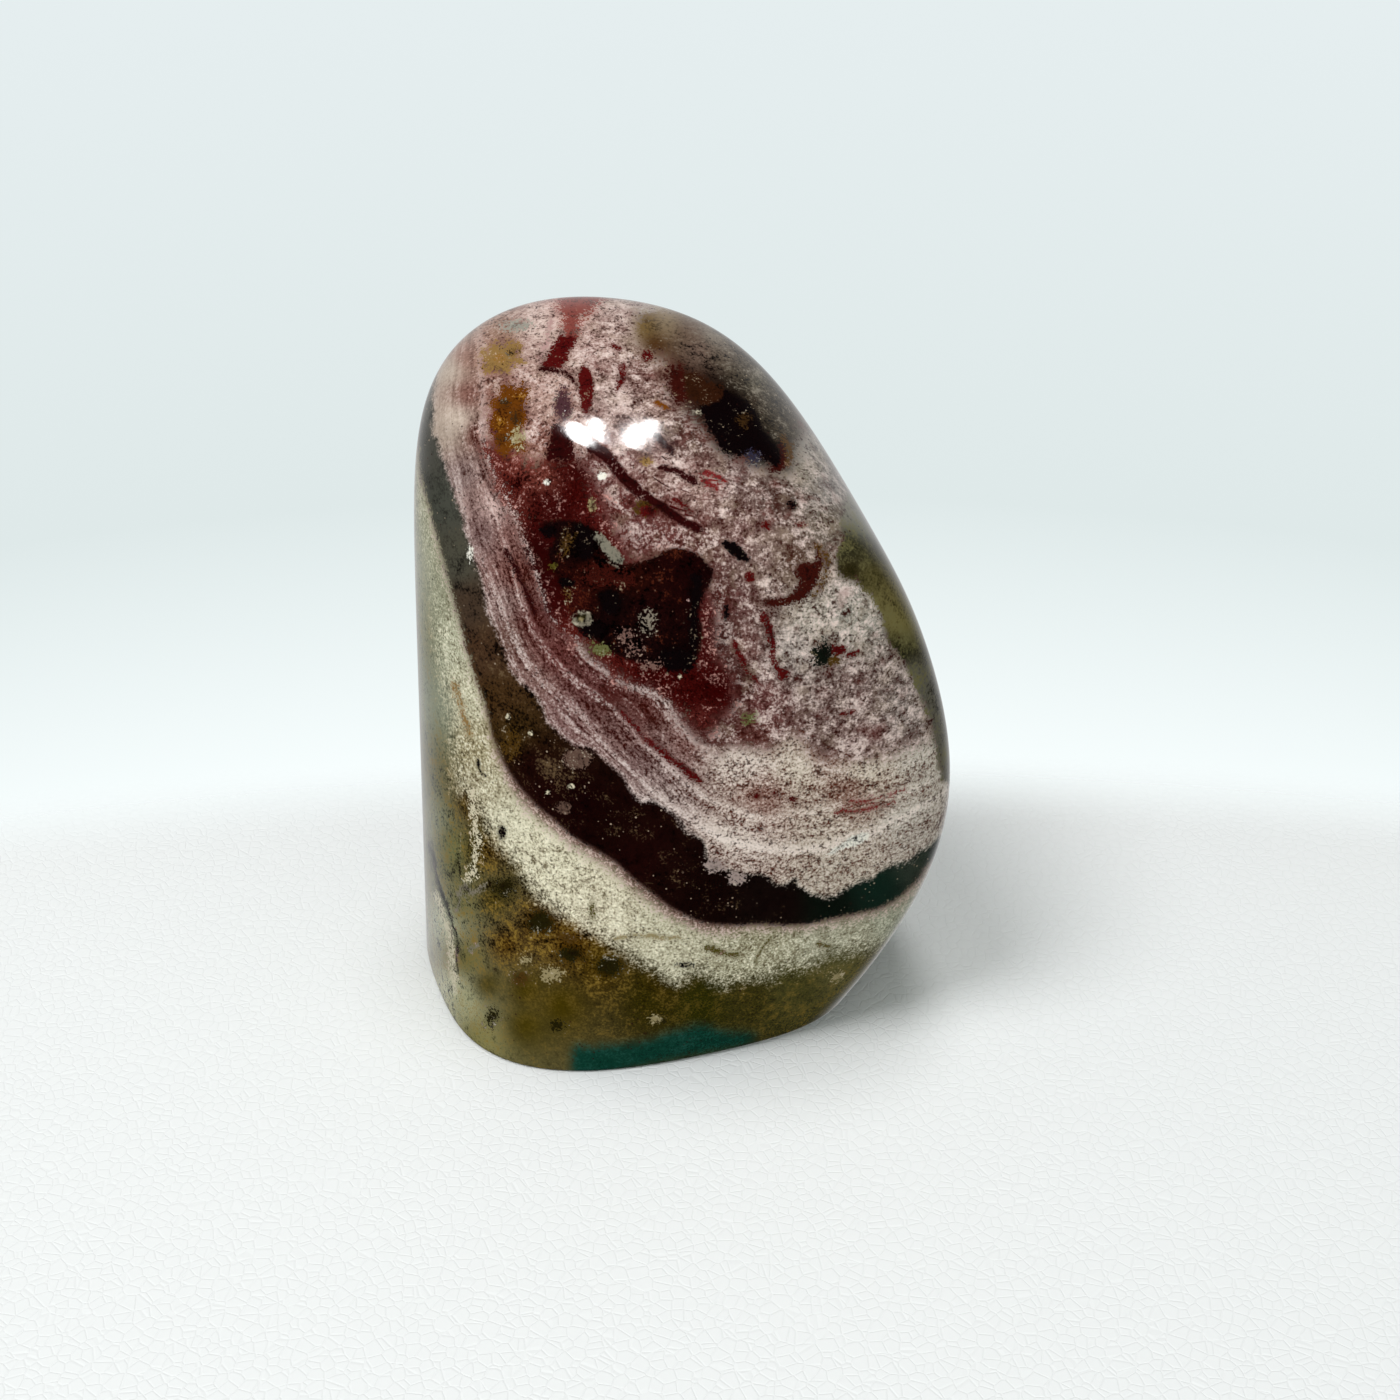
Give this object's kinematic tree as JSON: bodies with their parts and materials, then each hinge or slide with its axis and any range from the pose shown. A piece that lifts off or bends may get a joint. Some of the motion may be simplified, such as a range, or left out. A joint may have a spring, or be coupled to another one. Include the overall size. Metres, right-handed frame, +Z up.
{
  "type": "polished jasper freeform",
  "caption": "Free-standing polished stone, taller than wide, with soft ground faces, rolled shoulders, an overhanging side and a flat base to stand on.",
  "frame": {"origin": "on the flat base, under the middle of the stone's bounding box", "axes": "+Z up from the base, -Y out of the banded show face, +X towards the overhanging side"},
  "size_m": [0.0758, 0.0562, 0.0998],
  "materials": {
    "polished_jasper": "high polish"
  },
  "bodies": {
    "root": {"stone": "polished_jasper"}
  },
  "joints": []
}
